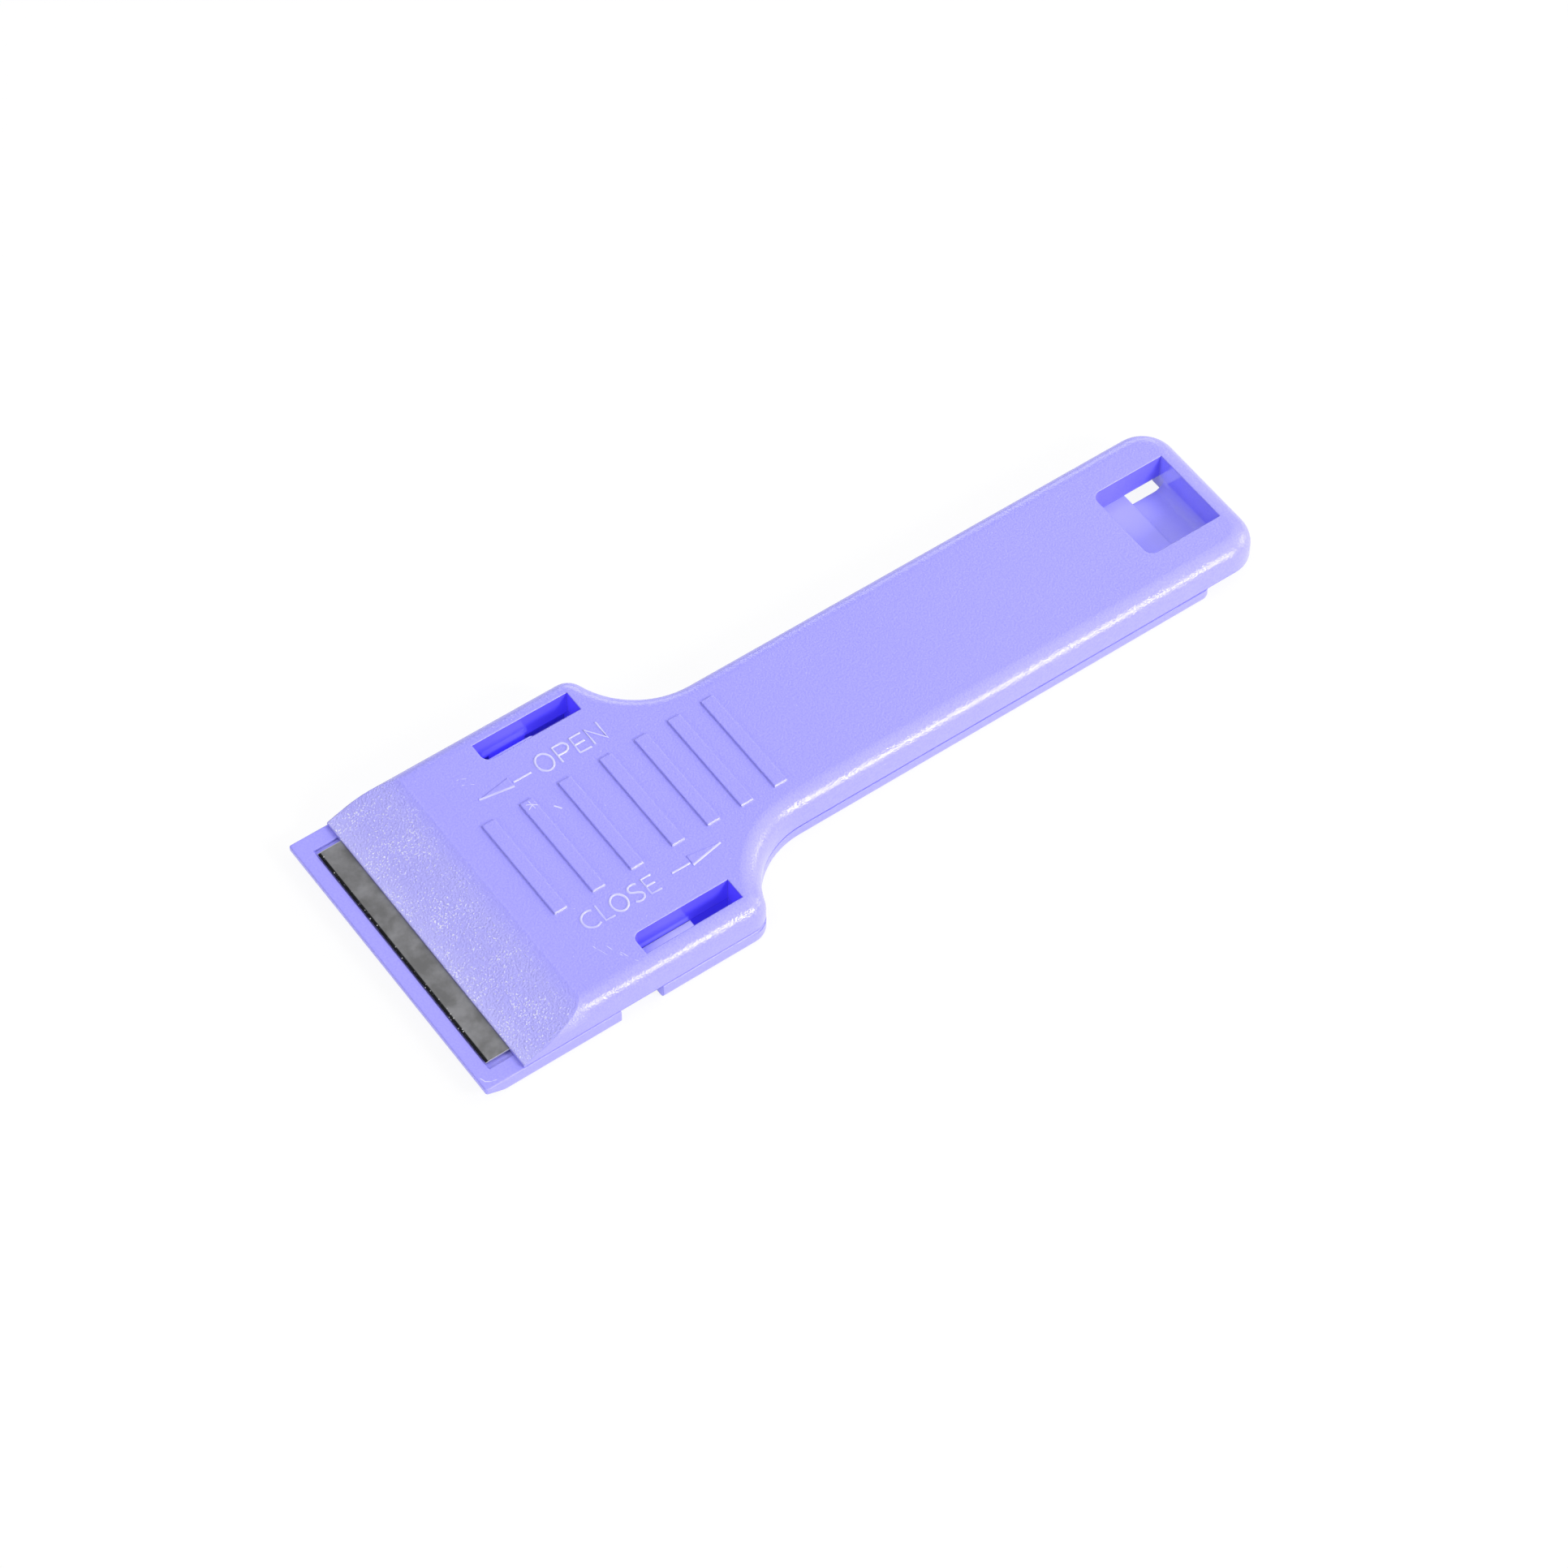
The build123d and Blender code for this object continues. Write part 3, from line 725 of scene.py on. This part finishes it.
lettering = {
    "body": "slider",
    "surface": 6.7,                   # height of the shell's flat top
    "stroke": 0.20,                   # radius of a stroke
    "sink": 0.08,                     # how far the stroke's middle lies under the surface
    "roundSteps": 3,
    "plateRim": ((0.0, -0.10), (0.0, 0.04), (0.03, 0.08), (0.09, 0.11)),    # inset and height of its rings
    "colour": (0.48, 0.465, 0.96),
    "driftSize": 4.0,
    "roughness": (0.16, 0.24),
    "strokes": {
        # each stroke is a flat path, and whether it closes
        "wordOpen": (
            (arc((32.05, 12.0), 1.15, 1.42, 0, 345, 22), True),
            ([(34.0, 10.6), (34.0, 13.35)] + arc((35.15, 12.6), 0.75, 0.75, 90, -90, 8) + [(34.05, 11.85)],
             False),
            ([(38.35, 13.3), (36.65, 13.3), (36.65, 10.6), (38.35, 10.6)], False),
            ([(36.65, 12.0), (38.2, 12.0)], False),
            ([(38.95, 10.6), (38.95, 13.35), (40.85, 10.6), (40.85, 13.45)], False),
        ),
        "wordClose": (
            (arc((23.35, -11.37), 1.3, 1.3, 55, 305, 18), False),
            ([(24.75, -10.0), (24.75, -12.62), (26.1, -12.62)], False),
            (arc((27.55, -11.35), 1.12, 1.32, 0, 345, 22), True),
            ([(30.85, -10.2), (30.45, -10.02), (29.95, -10.02), (29.55, -10.2), (29.38, -10.55),
              (29.5, -10.95), (29.9, -11.2), (30.4, -11.42), (30.75, -11.72), (30.85, -12.1),
              (30.65, -12.5), (30.2, -12.68), (29.7, -12.65), (29.35, -12.42)], False),
            ([(33.15, -10.05), (31.65, -10.05), (31.65, -12.62), (33.15, -12.62)], False),
            ([(31.65, -11.3), (32.95, -11.3)], False),
        ),
        "arrowOpenLines": (
            ([(27.1, 11.7), (29.8, 11.7)], False),
            ([(22.05, 11.92), (26.9, 11.1)], False),
        ),
        "arrowCloseLines": (
            ([(35.45, -11.5), (38.2, -11.5)], False),
            ([(38.35, -12.0), (43.1, -11.15)], False),
        ),
    },
    "plates": {
        # outlines that run counterclockwise
        "arrowOpenHead": ((22.05, 11.92), (26.9, 11.1), (26.9, 12.7)),
        "arrowCloseHead": ((38.35, -12.0), (43.1, -11.15), (38.35, -10.4)),
    },
}

letterPlastic, tree, shader = newMaterial("letterPlastic")
coordinates = place(tree, "ShaderNodeTexCoord", -900, 0)
grain = useGrain(tree, -650, 0, coordinates.outputs["Object"], plastic["grainSize"], lettering["driftSize"])
letterTone = remap(tree, -400, 100, grain.outputs["Drift"], *plastic["driftRange"])
letterColour = blend(tree, -150, 100, letterTone, lettering["colour"], plastic["paleColour"])
tree.links.new(letterColour, shader.inputs["Base Color"])
letterRough = remap(tree, -150, -150, grain.outputs["Tone"], 0.0, 1.0, *lettering["roughness"])
tree.links.new(letterRough, shader.inputs["Roughness"])


def addLettering(name, data, material):
    # an object that rides on the shell
    data.materials.append(material)
    piece = bpy.data.objects.new(name, data)
    scene.collection.objects.link(piece)
    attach(piece, lettering["body"])


def raisedStrokes(name, strokes):
    # thin round ridges along flat paths, more than half sunk in the surface
    curve = bpy.data.curves.new(name, "CURVE")
    curve.dimensions = "3D"
    curve.bevel_depth = lettering["stroke"] * mm
    curve.bevel_resolution = lettering["roundSteps"]
    curve.use_fill_caps = True
    height = lettering["surface"] - lettering["sink"]
    for path, closed in strokes:
        spline = curve.splines.new("POLY")
        spline.points.add(len(path) - 1)
        for point, (x, y) in zip(spline.points, path):
            point.co = (*along(x, y, height), 1.0)
        spline.use_cyclic_u = closed
    addLettering(name, curve, letterPlastic)


def raisedPlate(name, outline):
    # a low plate with a rounded rim over a flat outline
    points = [Vector(point) for point in outline]
    count = len(points)
    vertices = []
    for inset, height in lettering["plateRim"]:
        for number, point in enumerate(points):
            before = (point - points[number - 1]).normalized()
            after = (points[(number + 1) % count] - point).normalized()
            inward = Vector((-before.y - after.y, before.x + after.x))
            inward *= inset / (0.5 * inward.length_squared)
            x, y = point + inward
            vertices.append(along(x, y, lettering["surface"] + height))
    rings = len(lettering["plateRim"])
    faces = [list(reversed(range(count)))]
    for ring in range(rings - 1):
        for number in range(count):
            following = (number + 1) % count
            faces.append([ring * count + number, ring * count + following,
                          (ring + 1) * count + following, (ring + 1) * count + number])
    faces.append([(rings - 1) * count + number for number in range(count)])
    mesh = bpy.data.meshes.new(name)
    mesh.from_pydata(vertices, [], faces)
    addLettering(name, mesh, shellPlastic)


for name, strokes in lettering["strokes"].items():
    raisedStrokes(name, strokes)
for name, outline in lettering["plates"].items():
    raisedPlate(name, outline)
print("words and arrows raised")


# floor and background

backdrop = {
    "floorHalf": 2.0,
    "floorHeight": -0.00002,          # just under the object, so that their faces don't meet
    "floorColour": (0.93, 0.93, 0.94),
    "floorRoughness": 0.9,
    "floorSpecular": 0.1,
    "floorGlow": 0.90,                # how much of the floor's look is its plain light
    "paintedShadeMiddle": (33.0, 0.0, 0.0),      # painted shade: the floor under the head, seen through the slots, is dark blue and has a painted blue glow
    "paintedShadeHalf": (9.5, 21.0, 1.0),
    "paintedShadeEdge": 0.3,
    # dark blue and blue glow of the painted shade on the floor under the head
    "paintedShadeColour": (0.035, 0.022, 0.42),
    "paintedShadeGlow": (0.045, 0.032, 0.56),
    "skyColour": (0.97, 0.975, 1.0),
    "skyLight": 0.28,
}


def whiteForCamera(tree, shaderOutput, glow, colour):
    # the camera, mirrors and see-through pieces see the surface partly as plain light
    path = place(tree, "ShaderNodeLightPath", -400, 300)
    seen = math2(tree, "MAXIMUM", -200, 300, path.outputs["Is Camera Ray"], path.outputs["Is Glossy Ray"])
    seen = math2(tree, "MAXIMUM", 0, 300, seen, path.outputs["Is Transmission Ray"])
    factor = math2(tree, "MULTIPLY", 150, 300, seen, glow)
    light = place(tree, "ShaderNodeEmission", 150, -200, values={"Strength": 1.0})
    tree.links.new(colour, light.inputs["Color"])
    mix = place(tree, "ShaderNodeMixShader", 400, 0)
    tree.links.new(factor, mix.inputs[0])
    tree.links.new(shaderOutput, mix.inputs[1])
    tree.links.new(light.outputs[0], mix.inputs[2])
    return mix.outputs[0]


floorMesh = bpy.data.meshes.new("studioFloor")
half = backdrop["floorHalf"]
floorMesh.from_pydata(
    [(-half, -half, 0), (half, -half, 0), (half, half, 0), (-half, half, 0)], [], [(0, 1, 2, 3)])
floor = bpy.data.objects.new("studioFloor", floorMesh)
floor.location = (0, 0, backdrop["floorHeight"])
scene.collection.objects.link(floor)
floorPaper, tree, shader = newMaterial("floorPaper")
shader.inputs["Roughness"].default_value = backdrop["floorRoughness"]
shader.inputs["Specular IOR Level"].default_value = backdrop["floorSpecular"]
coordinates = place(tree, "ShaderNodeTexCoord", -700, -300)
# painted shade: the floor under the head
paintedShadeMask = boxMask(tree, -500, -300, coordinates.outputs["Object"], backdrop["paintedShadeMiddle"],
                  backdrop["paintedShadeHalf"], backdrop["paintedShadeEdge"])
floorColour = blend(tree, 0, 500, paintedShadeMask, backdrop["floorColour"], backdrop["paintedShadeColour"])
tree.links.new(floorColour, shader.inputs["Base Color"])
# the floor's plain light, with a painted blue glow in the painted shade under the head
floorLight = blend(tree, 0, -500, paintedShadeMask, white, backdrop["paintedShadeGlow"])
floorLook = whiteForCamera(tree, shader.outputs["BSDF"], backdrop["floorGlow"], floorLight)
tree.links.new(floorLook, tree.nodes["Material Output"].inputs["Surface"])
floorMesh.materials.append(floorPaper)

world = bpy.data.worlds.new("studioWorld")
world.use_nodes = True
scene.world = world
tree = world.node_tree
tree.nodes.clear()
sky = place(tree, "ShaderNodeBackground", -100, 100, values={
    "Color": (*backdrop["skyColour"], 1.0), "Strength": backdrop["skyLight"]})
seenSky = place(tree, "ShaderNodeBackground", -100, -100, values={
    "Color": (*white, 1.0), "Strength": 1.0})
path = place(tree, "ShaderNodeLightPath", -400, 300)
mixSky = place(tree, "ShaderNodeMixShader", 150, 0)
worldOutput = place(tree, "ShaderNodeOutputWorld", 350, 0)
tree.links.new(path.outputs["Is Camera Ray"], mixSky.inputs[0])
tree.links.new(sky.outputs[0], mixSky.inputs[1])
tree.links.new(seenSky.outputs[0], mixSky.inputs[2])
tree.links.new(mixSky.outputs[0], worldOutput.inputs["Surface"])
print("floor and background set")
